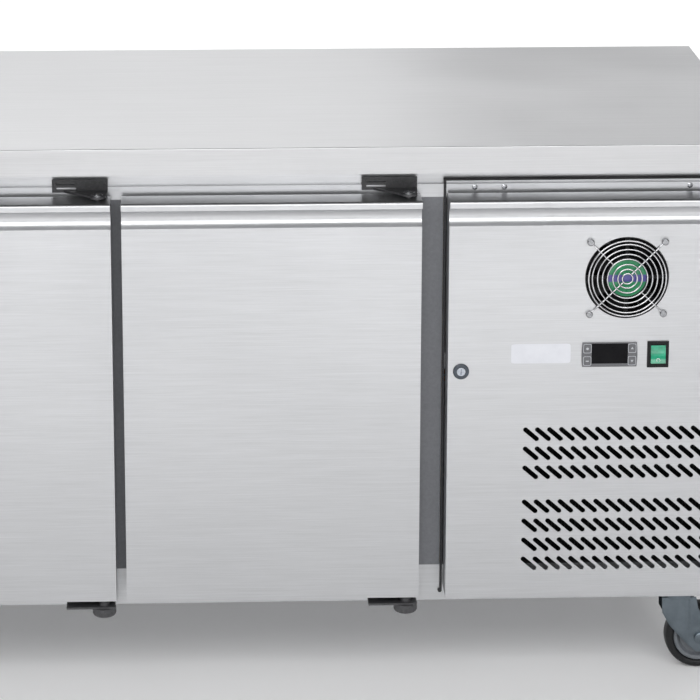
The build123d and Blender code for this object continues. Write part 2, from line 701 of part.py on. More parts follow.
# ---------------------------------------------------------------- service panel
panel_width = panel_right_x - panel_left_x
panel_sheet_y = door_face_y + sheet
bezel_depth = 4
bezel_front_y = door_face_y - bezel_depth
fan_screw_hole_radius = 2.2
flange_gap = 1
controller_cutout = (71, 29)
switch_cutout = (27, 34)
lock_barrel_radius = 9.5
lock_hole_gap = 0.1
with BuildPart() as panel_skin:
    with BuildSketch(Plane.YZ.offset(panel_left_x)):
        add(front_section.sketch_local)
    extrude(amount=panel_width)
    with BuildSketch(Plane.YZ.offset(panel_left_x + sheet)):
        add(panel_core_section.sketch_local)
    extrude(amount=panel_width - 2 * sheet, mode=Mode.SUBTRACT)
    block((panel_left_x + sheet, panel_right_x - sheet), (door_back_y - 2 * sheet, door_back_y),
          (door_bottom_z + sheet, door_top_z - sheet), Mode.SUBTRACT)
    block((panel_left_x, panel_left_x + sheet), (door_back_y, front_y - flange_gap),
          (door_bottom_z, door_top_z))
    for hole_z in pin_hole_z:
        upright(panel_pivot_x, pivot_y, hole_z, pin_hole_radius, Mode.SUBTRACT)
    with BuildSketch(Plane(origin=(0, panel_sheet_y, 0), x_dir=(1, 0, 0), z_dir=(0, -1, 0))):
        with Locations((fan_x, fan_z)):
            Circle(fan_hole_radius)
            with GridLocations(fan_screw_pitch, fan_screw_pitch, 2, 2):
                Circle(fan_screw_hole_radius)
        with Locations((controller_x, controller_z)):
            Rectangle(*controller_cutout)
        with Locations((switch_x, switch_z)):
            Rectangle(*switch_cutout)
        with Locations((lock_x, lock_z)):
            Circle(lock_barrel_radius + lock_hole_gap)
        for row_z in vent_row_zs:
            with Locations((vent_first_x + vent_pitch * (vent_columns - 1) / 2, row_z)):
                with GridLocations(vent_pitch, 0, vent_columns, 1):
                    SlotCenterToCenter(vent_centre_distance, vent_width, rotation=vent_angle)
    extrude(amount=sheet, mode=Mode.SUBTRACT)
save(panel_skin, "panel_skin")

# Wire guard: eight rings on four wires that bend down to screw eyes. Two opposite wires reach the
# innermost ring, the other two stop over the fan's hub. Each ring's seam is clear of the wires.
ring_radii = (7.4, 13.7, 20.8, 28.4, 35.5, 42.4, 49.7, 54.7)
ring_wire = 1.1
cross_wire = 1.2
weld_depth = 0.7
seam_turn = 17
ring_standoff = 5
ring_y = door_face_y - ring_standoff
cross_wire_y = ring_y + ring_wire + cross_wire - weld_depth
eye_y = door_face_y - cross_wire
eye_radius = 3.6
corner_distance = fan_screw_pitch / 2 * math.sqrt(2)
long_reach = 6.9
wire_turns = ((45, long_reach), (225, long_reach), (135, ring_radii[3]), (315, ring_radii[3]))
wire_bend_radius = 2.5
wire_bends = (14, 9)
with BuildPart() as fan_guard:
    for ring_radius in ring_radii:
        with Locations(Location((fan_x, ring_y, fan_z), (90, 0, 0)) * Location((0, 0, 0), (0, 0, seam_turn))):
            Torus(ring_radius, ring_wire)
    for turn, inner_reach in wire_turns:
        spoke = Location((fan_x, 0, fan_z), (0, -turn, 0))
        reaches = (inner_reach, corner_distance - wire_bends[0], corner_distance - wire_bends[1],
                   corner_distance - eye_radius)
        levels = (cross_wire_y, cross_wire_y, eye_y, eye_y)
        bends = [(spoke * Location((reach, level, 0))).position for reach, level in zip(reaches, levels)]
        with BuildLine() as spoke_line:
            FilletPolyline(*bends, radius=wire_bend_radius)
        with BuildSketch(Plane(origin=spoke_line.line @ 0, z_dir=spoke_line.line % 0)):
            Circle(cross_wire)
        sweep(path=spoke_line.line)
        with Locations(spoke * Location((corner_distance, eye_y, 0), (90, 0, 0))
                       * Location((0, 0, 0), (0, 0, seam_turn))):
            Torus(eye_radius, cross_wire)
save(fan_guard, "fan_guard")

fan_size = 119
fan_depth = 38
fan_span_y = (panel_sheet_y, panel_sheet_y + fan_depth)
fan_hub_radius = 29
fan_shaft_radius = 3
hub_plate_depth = 6
fan_corner_radius = 7
fan_bore_radius = 57.5
fan_arm = (fan_size - 3, 4, 5)
blind_gap = 2
hub_plate_y = (fan_span_y[0], fan_span_y[0] + hub_plate_depth)
with BuildPart() as fan_frame:
    with BuildSketch(Plane(origin=(fan_x, fan_span_y[0], fan_z), x_dir=(1, 0, 0), z_dir=(0, 1, 0))):
        RectangleRounded(fan_size, fan_size, fan_corner_radius)
    extrude(amount=fan_depth)
    fore_and_aft(fan_x, fan_z, fan_span_y, fan_bore_radius, Mode.SUBTRACT)
    with Locations((fan_x, middle(hub_plate_y), fan_z)):
        Box(*fan_arm)
        Box(fan_arm[2], fan_arm[1], fan_arm[0])
    fore_and_aft(fan_x, fan_z, hub_plate_y, fan_hub_radius)
    fore_and_aft(fan_x, fan_z, (hub_plate_y[0] + blind_gap, hub_plate_y[1]),
                 fan_shaft_radius + running_clearance, Mode.SUBTRACT)
    for corner_x in (-1, 1):
        for corner_z in (-1, 1):
            fore_and_aft(fan_x + corner_x * fan_screw_pitch / 2, fan_z + corner_z * fan_screw_pitch / 2,
                         fan_span_y, fan_screw_hole_radius, Mode.SUBTRACT)
save(fan_frame, "fan_frame")

wheel_gaps = (1, 3)
fan_tip_radius = 55
shaft_end_gap = 0.5
fan_wheel_y = (hub_plate_y[1] + wheel_gaps[0], fan_span_y[1] - wheel_gaps[1])
fan_shaft_y = (hub_plate_y[0] + blind_gap + shaft_end_gap, fan_wheel_y[0] + shaft_overlap)
fan_rotor = fan_wheel(fan_x, fan_z, fan_wheel_y, fan_hub_radius, fan_tip_radius, small_fan_blades,
                      fan_shaft_radius, fan_shaft_y)
save(fan_rotor, "fan_rotor")

screw_head_radius = 5
screw_head_rise = 3
screw_shank_radius = 2
rim_round = 1.6
screw_head_y = (eye_y - cross_wire - screw_head_rise, eye_y - cross_wire)
with BuildPart() as guard_screws:
    for corner_x in (-1, 1):
        for corner_z in (-1, 1):
            screw_x = fan_x + corner_x * fan_screw_pitch / 2
            screw_z = fan_z + corner_z * fan_screw_pitch / 2
            fore_and_aft(screw_x, screw_z, screw_head_y, screw_head_radius)
            fore_and_aft(screw_x, screw_z, (screw_head_y[1], fan_span_y[1]), screw_shank_radius)
    head_rims = guard_screws.edges().filter_by(GeomType.CIRCLE).group_by(Axis.Y)[0]
    fillet(head_rims, radius=rim_round)
save(guard_screws, "guard_screws")

# Controller: bowed bezel, dark window, and two keys at each end of it.
window_size = (51.5, 29.5)
window_raise = 2.2
window_z = controller_z + window_raise
window_depth = 1.2
key_size = (9, 11)
key_gap = 0.35
key_zs = (533.6, 515.3)
key_xs = {"left": 438.2, "right": 501.8}
key_rise = 0.8
key_depth = 3
key_room = 0.8
key_round = 0.6
bezel_bow = 1
bezel_round = 0.8
key_y = (bezel_front_y - key_rise, bezel_front_y + key_depth)
controller_back_y = -284
with BuildPart() as controller_body:
    bezel_origin = (controller_x, bezel_front_y, controller_z)
    with BuildSketch(Plane(origin=bezel_origin, x_dir=(1, 0, 0), z_dir=(0, -1, 0))):
        half_width = controller_width / 2
        half_height = controller_height / 2
        end_x = half_width - bezel_bow
        with BuildLine():
            ThreePointArc((-end_x, half_height), (-half_width, 0), (-end_x, -half_height))
            Line((-end_x, -half_height), (end_x, -half_height))
            ThreePointArc((end_x, -half_height), (half_width, 0), (end_x, half_height))
            Line((end_x, half_height), (-end_x, half_height))
        make_face()
    extrude(amount=-(door_face_y - bezel_front_y))
    fillet(controller_body.faces().sort_by(Axis.Y)[0].edges(), radius=bezel_round)
    block((controller_x - controller_cutout[0] / 2, controller_x + controller_cutout[0] / 2),
          (door_face_y, controller_back_y),
          (controller_z - controller_cutout[1] / 2, controller_z + controller_cutout[1] / 2))
    block((controller_x - window_size[0] / 2, controller_x + window_size[0] / 2),
          (bezel_front_y, bezel_front_y + window_depth),
          (window_z - window_size[1] / 2, window_z + window_size[1] / 2), Mode.SUBTRACT)
    for key_x in key_xs.values():
        for key_z in key_zs:
            block((key_x - key_size[0] / 2 - key_gap, key_x + key_size[0] / 2 + key_gap),
                  (bezel_front_y, key_y[1] + key_room),
                  (key_z - key_size[1] / 2 - key_gap, key_z + key_size[1] / 2 + key_gap), Mode.SUBTRACT)
save(controller_body, "controller_body")

with BuildPart() as controller_window:
    block((controller_x - window_size[0] / 2, controller_x + window_size[0] / 2),
          (bezel_front_y, bezel_front_y + window_depth),
          (window_z - window_size[1] / 2, window_z + window_size[1] / 2))
save(controller_window, "controller_window")

for key_side, key_x in key_xs.items():
    for key_row, key_z in {"upper": key_zs[0], "lower": key_zs[1]}.items():
        with BuildPart() as controller_key:
            block((key_x - key_size[0] / 2, key_x + key_size[0] / 2), key_y,
                  (key_z - key_size[1] / 2, key_z + key_size[1] / 2))
            fillet(controller_key.faces().sort_by(Axis.Y)[0].edges(), radius=key_round)
        save(controller_key, f"controller_key_{key_side}_{key_row}")

# Rocker switch. At rest the rocker is tipped to one end of its travel.
switch_size = (30.5, 38.5)
switch_rise = 3
switch_round = 1
switch_body_depth = 26
switch_well_depth = 12
switch_front_y = door_face_y - switch_rise
rocker_size = (21, 26)
rocker_gap = (0.4, 1.6)
rocker_axis_inset = 1
rocker_axis_y = door_face_y + rocker_axis_inset
rocker_front = -6.5
rocker_saddle = -5.2
rocker_back = 5
rocker_taper = 3
rocker_tilt = 7
rocker_pin_radius = 1.5
rocker_pin_reach = 2
rocker_pin_length = rocker_size[0] + 2 * rocker_pin_reach
rocker_pin_end_gap = 0.3
with BuildPart() as switch_bezel:
    block((switch_x - switch_size[0] / 2, switch_x + switch_size[0] / 2), (switch_front_y, door_face_y),
          (switch_z - switch_size[1] / 2, switch_z + switch_size[1] / 2))
    fillet(switch_bezel.faces().sort_by(Axis.Y)[0].edges(), radius=switch_round)
    block((switch_x - switch_cutout[0] / 2, switch_x + switch_cutout[0] / 2),
          (door_face_y, door_face_y + switch_body_depth),
          (switch_z - switch_cutout[1] / 2, switch_z + switch_cutout[1] / 2))
    block((switch_x - rocker_size[0] / 2 - rocker_gap[0], switch_x + rocker_size[0] / 2 + rocker_gap[0]),
          (switch_front_y, door_face_y + switch_well_depth),
          (switch_z - rocker_size[1] / 2 - rocker_gap[1], switch_z + rocker_size[1] / 2 + rocker_gap[1]),
          Mode.SUBTRACT)
    with Locations((switch_x, rocker_axis_y, switch_z)):
        Cylinder(rocker_pin_radius + running_clearance, rocker_pin_length + 2 * rocker_pin_end_gap,
                 rotation=(0, 90, 0), mode=Mode.SUBTRACT)
save(switch_bezel, "switch_bezel")

with BuildPart() as switch_rocker:
    rocker_plane = Plane(origin=(switch_x - rocker_size[0] / 2, rocker_axis_y, switch_z),
                         x_dir=(0, 1, 0), z_dir=(1, 0, 0)).rotated((-rocker_tilt, 0, 0))
    with BuildSketch(rocker_plane):
        half_length = rocker_size[1] / 2
        back_length = half_length - rocker_taper
        with BuildLine():
            Polyline((rocker_back, back_length), (0, half_length), (rocker_front, half_length))
            ThreePointArc((rocker_front, half_length), (rocker_saddle, 0), (rocker_front, -half_length))
            Polyline((rocker_front, -half_length), (0, -half_length), (rocker_back, -back_length),
                     (rocker_back, back_length))
        make_face()
    extrude(amount=rocker_size[0])
    with Locations((switch_x, rocker_axis_y, switch_z)):
        Cylinder(rocker_pin_radius, rocker_pin_length, rotation=(0, 90, 0))
save(switch_rocker, "switch_rocker")

# Cam lock: the fixed cylinder, and the plug that carries the cam.
plug_radius = 6
plug_hole_radius = plug_radius + running_clearance
cylinder_back_y = -296
collar_rise = 3.2
lock_collar_radius = 11.5
plug_proud = 0.3
plug_end = 0.5
lock_front_y = door_face_y - collar_rise
plug_front_y = lock_front_y - plug_proud
plug_back_y = cylinder_back_y + plug_end
with BuildPart() as lock_cylinder:
    fore_and_aft(lock_x, lock_z, (lock_front_y, door_face_y), lock_collar_radius)
    fore_and_aft(lock_x, lock_z, (door_face_y, cylinder_back_y), lock_barrel_radius)
    fillet(lock_cylinder.edges().filter_by(GeomType.CIRCLE).group_by(Axis.Y)[0], radius=rim_round)
    fore_and_aft(lock_x, lock_z, (lock_front_y - overcut, cylinder_back_y + overcut), plug_hole_radius,
                 Mode.SUBTRACT)
save(lock_cylinder, "lock_cylinder")

cam_y = (-282.5, -280.5)
cam_reach = 17
cam_heel = 6
cam_half_width = 5.5
cam_stem_radius = 4.5
key_slot_half = (0.8, 4)
key_slot_depth = 5
with BuildPart() as lock_barrel:
    fore_and_aft(lock_x, lock_z, (plug_front_y, plug_back_y), plug_radius)
    fore_and_aft(lock_x, lock_z, (plug_back_y, cam_y[1]), cam_stem_radius)
    block((lock_x - cam_half_width, lock_x + cam_half_width), cam_y, (lock_z - cam_heel, lock_z + cam_reach))
    block((lock_x - key_slot_half[0], lock_x + key_slot_half[0]),
          (plug_front_y, lock_front_y + key_slot_depth),
          (lock_z - key_slot_half[1], lock_z + key_slot_half[1]), Mode.SUBTRACT)
save(lock_barrel, "lock_barrel")

# ---------------------------------------------------------------- casters
plate_thickness = 3.5
plate_half = (51, 42)
bolt_half = (39, 30)
bolt_head_depth = 5
bolt_head_radius = 6.5
plate_z = (body_bottom_z - plate_thickness, body_bottom_z)
race_z = (124, plate_z[0])
king_pin_radius = 5
king_pin_bottom_z = 108
crown_gap = 0.5
crown_z = (112, race_z[0] - crown_gap)
crown_radius = 26
wheel_side_gap = 2.5
leg_sheet = 2.5
leg_inner = wheel_width / 2 + wheel_side_gap
leg_outer = leg_inner + leg_sheet
axle_radius = 5
axle_head_radius = 8.5
axle_head_depth = 5
axle_end = 1
leg_foot_radius = 12
leg_foot_z = wheel_radius - 6
# Outline of a leg: its top and waist are measured from the swivel, its knee and foot from the axle.
leg_top_z = crown_z[1] - 1
leg_waist_z = crown_z[0] - 16
leg_knee_z = wheel_radius + 22
leg_top_half = 24
leg_waist_x = -22
leg_knee_x = 13
hub_gap = 0.5
hub_radius = 13
tyre_round = 7
recess_depth = 5
recess_radius = 35
with BuildPart() as caster_plates:
    for caster_x, caster_y in caster_places.values():
        block((caster_x - plate_half[0], caster_x + plate_half[0]),
              (caster_y - plate_half[1], caster_y + plate_half[1]), plate_z)
        upright(caster_x, caster_y, race_z, crown_radius)
        upright(caster_x, caster_y, (king_pin_bottom_z, race_z[0]), king_pin_radius)
        for bolt_x in (-bolt_half[0], bolt_half[0]):
            for bolt_y in (-bolt_half[1], bolt_half[1]):
                upright(caster_x + bolt_x, caster_y + bolt_y, (plate_z[0] - bolt_head_depth, plate_z[0]),
                        bolt_head_radius)
save(caster_plates, "caster_plates")

for place, (caster_x, caster_y) in caster_places.items():
    axle_x = caster_x + caster_trail
    with BuildPart() as caster_fork:
        upright(caster_x, caster_y, crown_z, crown_radius)
        for leg_y in (-leg_outer, leg_inner):
            with BuildSketch(Plane(origin=(0, caster_y + leg_y, 0), x_dir=(1, 0, 0), z_dir=(0, -1, 0))):
                with BuildLine():
                    Polyline((caster_x - leg_top_half, leg_top_z), (caster_x + leg_waist_x, leg_waist_z),
                             (axle_x - leg_foot_radius, leg_foot_z), (axle_x + leg_foot_radius, leg_foot_z),
                             (axle_x + leg_knee_x, leg_knee_z), (caster_x + leg_top_half, leg_top_z),
                             close=True)
                make_face()
                with Locations((axle_x, leg_foot_z)):
                    Circle(leg_foot_radius)
            extrude(amount=-(leg_outer - leg_inner))
        axle_half = leg_outer + axle_end
        fore_and_aft(axle_x, wheel_radius, (caster_y - axle_half, caster_y + axle_half), axle_radius)
        for head_y in ((-leg_outer - axle_head_depth, -leg_outer), (leg_outer, leg_outer + axle_head_depth)):
            fore_and_aft(axle_x, wheel_radius, (caster_y + head_y[0], caster_y + head_y[1]), axle_head_radius)
        upright(caster_x, caster_y, (king_pin_bottom_z - overcut, crown_z[1] + overcut),
                king_pin_radius + running_clearance, Mode.SUBTRACT)
    save(caster_fork, f"caster_fork_{place}")

    hub_half = leg_inner - hub_gap
    wheel_half = wheel_width / 2
    with BuildPart() as caster_wheel:
        fore_and_aft(axle_x, wheel_radius, (caster_y - wheel_half, caster_y + wheel_half), wheel_radius)
        fillet(caster_wheel.edges().filter_by(GeomType.CIRCLE), radius=tyre_round)
        for recess_y in ((-wheel_half, -wheel_half + recess_depth), (wheel_half - recess_depth, wheel_half)):
            recess = (caster_y + recess_y[0], caster_y + recess_y[1])
            fore_and_aft(axle_x, wheel_radius, recess, recess_radius, Mode.SUBTRACT)
        fore_and_aft(axle_x, wheel_radius, (caster_y - hub_half, caster_y + hub_half), hub_radius)
        fore_and_aft(axle_x, wheel_radius, (caster_y - hub_half, caster_y + hub_half),
                     axle_radius + running_clearance, Mode.SUBTRACT)
    save(caster_wheel, f"caster_wheel_{place}")
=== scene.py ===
import json
import math

import bmesh
import bpy
import numpy as np
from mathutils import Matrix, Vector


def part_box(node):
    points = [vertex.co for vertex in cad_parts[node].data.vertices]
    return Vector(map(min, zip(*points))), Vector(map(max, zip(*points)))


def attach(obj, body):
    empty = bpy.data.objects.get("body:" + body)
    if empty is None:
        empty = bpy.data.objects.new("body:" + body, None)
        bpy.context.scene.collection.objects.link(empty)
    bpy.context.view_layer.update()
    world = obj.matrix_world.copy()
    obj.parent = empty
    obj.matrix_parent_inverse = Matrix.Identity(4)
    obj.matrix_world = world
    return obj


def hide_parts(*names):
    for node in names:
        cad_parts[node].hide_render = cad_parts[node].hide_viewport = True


# Undercounter refrigerator: two hinged doors, a hinged service panel with the cooling unit behind
# it, and four casters. Metres, origin on the floor under the middle of the worktop, front to -Y.
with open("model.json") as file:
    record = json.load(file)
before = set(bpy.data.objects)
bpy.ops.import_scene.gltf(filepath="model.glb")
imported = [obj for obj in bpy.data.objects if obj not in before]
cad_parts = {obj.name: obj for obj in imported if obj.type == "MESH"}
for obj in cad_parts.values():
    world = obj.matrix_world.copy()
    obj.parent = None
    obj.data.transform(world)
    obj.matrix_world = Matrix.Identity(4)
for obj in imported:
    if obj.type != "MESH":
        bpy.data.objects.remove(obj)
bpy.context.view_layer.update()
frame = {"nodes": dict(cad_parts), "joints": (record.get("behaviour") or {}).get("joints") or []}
mm = 0.001

# ---------------------------------------------------------------- where it stands
# A plain pale floor and soft studio light: an even pale sky, a wide soft box over the floor in front,
# a wall of light beyond it and a low strip facing the doors, one behind on the left, one over the
# background, and a small key.


def wire_up(tree, socket, value):
    """Gives a socket a value, or links it to another node's output."""
    if isinstance(value, bpy.types.NodeSocket):
        tree.links.new(value, socket)
    else:
        socket.default_value = value


def shader_node(tree, kind, options=None, **values):
    """A node with its options set, then its named sockets filled or linked."""
    made = tree.nodes.new(kind)
    for option, value in (options or {}).items():
        setattr(made, option, value)
    for label, value in values.items():
        wire_up(tree, made.inputs[label.replace("_", " ")], value)
    return made


def arithmetic(tree, operation, *values):
    """One step of arithmetic on one to three numbers."""
    step = shader_node(tree, "ShaderNodeMath", {"operation": operation})
    for socket, value in zip(step.inputs, values):
        wire_up(tree, socket, value)
    return step.outputs[0]


def spread(tree, value, low, high, start=0.0, end=1.0):
    """A number that goes from low to high while value goes from start to end."""
    return shader_node(tree, "ShaderNodeMapRange", Value=value, From_Min=start, From_Max=end,
                       To_Min=low, To_Max=high).outputs[0]


def two_tone(tree, factor, first, second):
    """A colour between first and second."""
    mix = shader_node(tree, "ShaderNodeMix", {"data_type": "RGBA"})
    for socket, value in zip((mix.inputs[0], mix.inputs[6], mix.inputs[7]), (factor, first, second)):
        wire_up(tree, socket, (*value, 1.0) if isinstance(value, tuple) else value)
    return mix.outputs[2]


def new_material(name, metallic=0.0, roughness=0.5, **constants):
    """A node material, its tree, its shader with the constants set, and its object coordinates."""
    material = bpy.data.materials.new(name)
    material.use_nodes = True
    tree = material.node_tree
    shader = tree.nodes["Principled BSDF"]
    shader.inputs["Metallic"].default_value = metallic
    shader.inputs["Roughness"].default_value = roughness
    for label, value in constants.items():
        shader.inputs[label.replace("_", " ")].default_value = value
    place = tree.nodes.new("ShaderNodeTexCoord").outputs["Object"]
    return material, tree, shader, place


floor_half = 14.0
floor_corners = floor_half * np.array([(-1, -1, 0), (1, -1, 0), (1, 1, 0), (-1, 1, 0)])
floor_mesh = bpy.data.meshes.new("studio_floor")
floor_mesh.from_pydata(floor_corners.tolist(), [], [(0, 1, 2, 3)])
floor = bpy.data.objects.new("studio_floor", floor_mesh)
bpy.context.scene.collection.objects.link(floor)
floor_paint, tree, shader, place = new_material("studio_floor_paint", roughness=0.9,
                                              Emission_Strength=0.07,
                                              Emission_Color=(1.0, 1.0, 1.0, 1.0))
mottle = shader_node(tree, "ShaderNodeTexNoise", Vector=place, Scale=0.4).outputs[0]
wire_up(tree, shader.inputs["Base Color"], two_tone(tree, mottle, (0.87, 0.87, 0.875), (0.9, 0.9, 0.9)))
floor_mesh.materials.append(floor_paint)

world = bpy.data.worlds.new("studio_light")
world.use_nodes = True
bpy.context.scene.world = world
sky = world.node_tree
direction = sky.nodes.new("ShaderNodeTexCoord").outputs["Generated"]
height = shader_node(sky, "ShaderNodeSeparateXYZ", Vector=direction).outputs["Z"]
sky_colour = two_tone(sky, spread(sky, height, 0.0, 1.0, 0.0, 0.8), (1.0, 1.01, 1.03), (0.8, 0.8, 0.8))
wire_up(sky, sky.nodes["Background"].inputs["Color"], sky_colour)
sky.nodes["Background"].inputs["Strength"].default_value = 0.36

# name: where it stands, what it faces, its size, its power
soft_boxes = {
    "front_floor": ((0.0, -4.0, 2.8), (0.0, -4.0, 0.0), (6.0, 2.2), 180.0),
    "front_wall": ((0.0, -6.4, 2.5), (0.0, -0.3, 0.75), (5.0, 2.0), 66.0),
    "front_low": ((0.0, -3.4, 0.35), (0.0, 0.0, 0.1), (5.0, 0.5), 3.0),
    "back_left": ((-0.95, 3.8, 1.9), (-0.25, 0.0, 0.83), (3.0, 1.4), 7.5),
    "background": ((0.0, 4.2, 4.0), (0.0, 4.2, 0.0), (7.0, 4.0), 240.0),
    "key": ((-1.8, -2.6, 3.2), (0.0, -0.3, 0.7), (1.6, 1.2), 14.0),
}
for light_name, (stand, aim, size, watts) in soft_boxes.items():
    lamp = bpy.data.lights.new(light_name, "AREA")
    lamp.shape = "RECTANGLE"
    lamp.size, lamp.size_y = size
    lamp.energy = watts
    soft_box = bpy.data.objects.new(light_name, lamp)
    bpy.context.scene.collection.objects.link(soft_box)
    soft_box.location = stand
    soft_box.visible_camera = False
    soft_box.rotation_euler = (Vector(aim) - Vector(stand)).to_track_quat("-Z", "Y").to_euler()

camera_data = bpy.data.cameras.new("studio_camera")
camera_data.lens, camera_data.sensor_width = 164.7, 36.0
camera_data.shift_x, camera_data.shift_y = 0.06, -0.12
camera_data.clip_end = 200.0
camera = bpy.data.objects.new("studio_camera", camera_data)
bpy.context.scene.collection.objects.link(camera)
camera.location = (-0.121, -4.666, 1.829)
camera.rotation_euler = (math.radians(74.86), 0.0, math.radians(-2.17))
bpy.context.scene.camera = camera
bpy.context.scene.view_settings.view_transform = "Standard"

# ---------------------------------------------------------------- outer sheets and worktop
# Brushed stainless sheet, folded and spot-welded. The belt leaves a fine grain that runs the
# length of each sheet, with longer streaks in it, and hands leave faint dull patches.


def new_group(name, inputs, outputs):
    """A shader node group with named sockets, and its input and output nodes."""
    group = bpy.data.node_groups.new(name, "ShaderNodeTree")
    for label, kind, value in inputs:
        group.interface.new_socket(label, in_out="INPUT", socket_type=kind).default_value = value
    for label in outputs:
        group.interface.new_socket(label, in_out="OUTPUT", socket_type="NodeSocketFloat")
    return group, group.nodes.new("NodeGroupInput").outputs, group.nodes.new("NodeGroupOutput").inputs


def vector_times(tree, vector, factor):
    """A vector scaled axis by axis."""
    step = shader_node(tree, "ShaderNodeVectorMath", {"operation": "MULTIPLY"})
    wire_up(tree, step.inputs[0], vector)
    wire_up(tree, step.inputs[1], factor)
    return step.outputs[0]


brushed_grain, ins, outs = new_group(
    "brushed_grain",
    [("Vector", "NodeSocketVector", (0, 0, 0)), ("Stretch", "NodeSocketVector", (6, 400, 400))],
    ["Grain", "Streak"],
)
stretched = vector_times(brushed_grain, ins["Vector"], ins["Stretch"])
fine = shader_node(brushed_grain, "ShaderNodeTexNoise", Vector=stretched, Scale=1.0, Detail=4.0,
                   Roughness=0.7)
wide = vector_times(brushed_grain, stretched, (0.4, 0.25, 0.25))
streak = shader_node(brushed_grain, "ShaderNodeTexNoise", Vector=wide, Scale=1.0, Detail=2.0,
                     Roughness=0.6)
wire_up(brushed_grain, outs["Grain"], fine.outputs[0])
wire_up(brushed_grain, outs["Streak"], streak.outputs[0])

handling_marks, ins, outs = new_group(
    "handling_marks",
    [("Vector", "NodeSocketVector", (0, 0, 0)), ("Scale", "NodeSocketFloat", 5.0)],
    ["Smudge", "Dust"],
)
patch = shader_node(handling_marks, "ShaderNodeTexNoise", Vector=ins["Vector"], Scale=ins["Scale"],
                    Detail=5.0, Roughness=0.55, Distortion=0.4).outputs[0]
speck = shader_node(handling_marks, "ShaderNodeTexNoise", Vector=ins["Vector"], Scale=900.0,
                    Detail=1.0).outputs[0]
wire_up(handling_marks, outs["Smudge"], spread(handling_marks, patch, 0.0, 1.0, 0.42, 0.68))
wire_up(handling_marks, outs["Dust"], spread(handling_marks, speck, 0.0, 1.0, 0.68, 0.76))


def blend(tree, first, share, second):
    """share of the first value plus the rest of the second."""
    rest = arithmetic(tree, "MULTIPLY", second, 1.0 - share)
    return arithmetic(tree, "MULTIPLY_ADD", first, share, rest)


def use_group(tree, group, **values):
    """One group node in a material, with its sockets filled; returns its outputs."""
    placed = tree.nodes.new("ShaderNodeGroup")
    placed.node_tree = group
    for label, value in values.items():
        wire_up(tree, placed.inputs[label], value)
    return placed.outputs


def brushed_steel(name, stretch, dark, light, smooth, rough):
    """Brushed stainless: grain and streaks vary the colour and the bump, smudges dull it."""
    material, tree, shader, place = new_material(name, metallic=1.0)
    grain = use_group(tree, brushed_grain, Vector=place, Stretch=stretch)
    marks = use_group(tree, handling_marks, Vector=place, Scale=3.2)
    tone = spread(tree, blend(tree, grain["Grain"], 0.75, grain["Streak"]), 0.0, 1.0, 0.3, 0.7)
    wire_up(tree, shader.inputs["Base Color"], two_tone(tree, tone, dark, light))
    dull = blend(tree, marks["Smudge"], 0.6, grain["Grain"])
    wire_up(tree, shader.inputs["Roughness"], spread(tree, dull, smooth, rough))
    bump = shader_node(tree, "ShaderNodeBump", Strength=0.22, Distance=0.0002, Height=grain["Grain"])
    wire_up(tree, shader.inputs["Normal"], bump.outputs[0])
    return material


def dress(material, *node_names):
    """Puts a finish on the slots of CAD nodes."""
    for node_name in node_names:
        part = frame["nodes"][node_name]
        if not part.material_slots:
            part.data.materials.append(material)
        for slot in part.material_slots:
            slot.material = material


sheet_look = ((0.49, 0.495, 0.505), (0.58, 0.585, 0.6), 0.3, 0.44)
front_steel = brushed_steel("brushed_steel_front", (12.0, 680.0, 680.0), *sheet_look)
side_steel = brushed_steel("brushed_steel_side", (680.0, 12.0, 680.0), *sheet_look)
worktop_steel = brushed_steel("brushed_steel_worktop", (7.0, 560.0, 560.0), (0.47, 0.472, 0.48),
                              (0.55, 0.552, 0.56), 0.33, 0.38)
dress(worktop_steel, "worktop")
dress(side_steel, "side_panel_left", "side_panel_right")
dress(front_steel, "rear_panel", "base_panel", "front_top_rail", "front_bottom_rail")

# Rows of small cross-head screws hold the rear sheet, and three show on the rail above the service
# panel. Each is a pressed steel head, domed, with a cross stamped in it, zinc-plated.


weld_distance = 0.002 * mm
sharp_angle = math.radians(38)


def surface(name, *sheets):
    """A mesh object from sheets of points. A sheet is (points, closed down the rows, closed along the
    columns, rows that get a lid). Each cell between neighbouring rows and columns is a quad."""
    corners, faces, first = [], [], 0
    for points, rows_closed, columns_closed, lidded in sheets:
        number = first + np.arange(points.shape[0] * points.shape[1]).reshape(points.shape[:2])
        faces += [number[row].tolist() for row in lidded]
        first += number.size
        corners.append(points.reshape(-1, 3))
        if rows_closed:
            number = np.vstack([number, number[:1]])
        if columns_closed:
            number = np.hstack([number, number[:, :1]])
        quads = np.stack([number[:-1, :-1], number[:-1, 1:], number[1:, 1:], number[1:, :-1]], -1)
        faces += quads.reshape(-1, 4).tolist()
    mesh = bpy.data.meshes.new(name)
    mesh.from_pydata(np.vstack(corners).tolist(), [], faces)
    tidy = bmesh.new()
    tidy.from_mesh(mesh)
    bmesh.ops.remove_doubles(tidy, verts=tidy.verts, dist=weld_distance)
    bmesh.ops.recalc_face_normals(tidy, faces=tidy.faces)
    tidy.to_mesh(mesh)
    tidy.free()
    mesh.shade_smooth()
    mesh.set_sharp_from_angle(angle=sharp_angle)
    piece = bpy.data.objects.new(name, mesh)
    bpy.context.scene.collection.objects.link(piece)
    return piece


def turned(profile, centre, axis, steps=32, start=0.0):
    """A turned sheet: each (radius, distance along the axis) of the profile, swept round the axis."""
    radius, along = np.array(profile, float).T
    turn = start + np.linspace(0, 2 * np.pi, steps, endpoint=False)
    order = {"x": (1, 2, 0), "y": (0, 2, 1), "z": (0, 1, 2)}[axis]
    points = np.empty((len(radius), steps, 3))
    points[..., order[0]] = radius[:, None] * np.cos(turn)
    points[..., order[1]] = radius[:, None] * np.sin(turn)
    points[..., order[2]] = along[:, None]
    return points + np.array(centre)


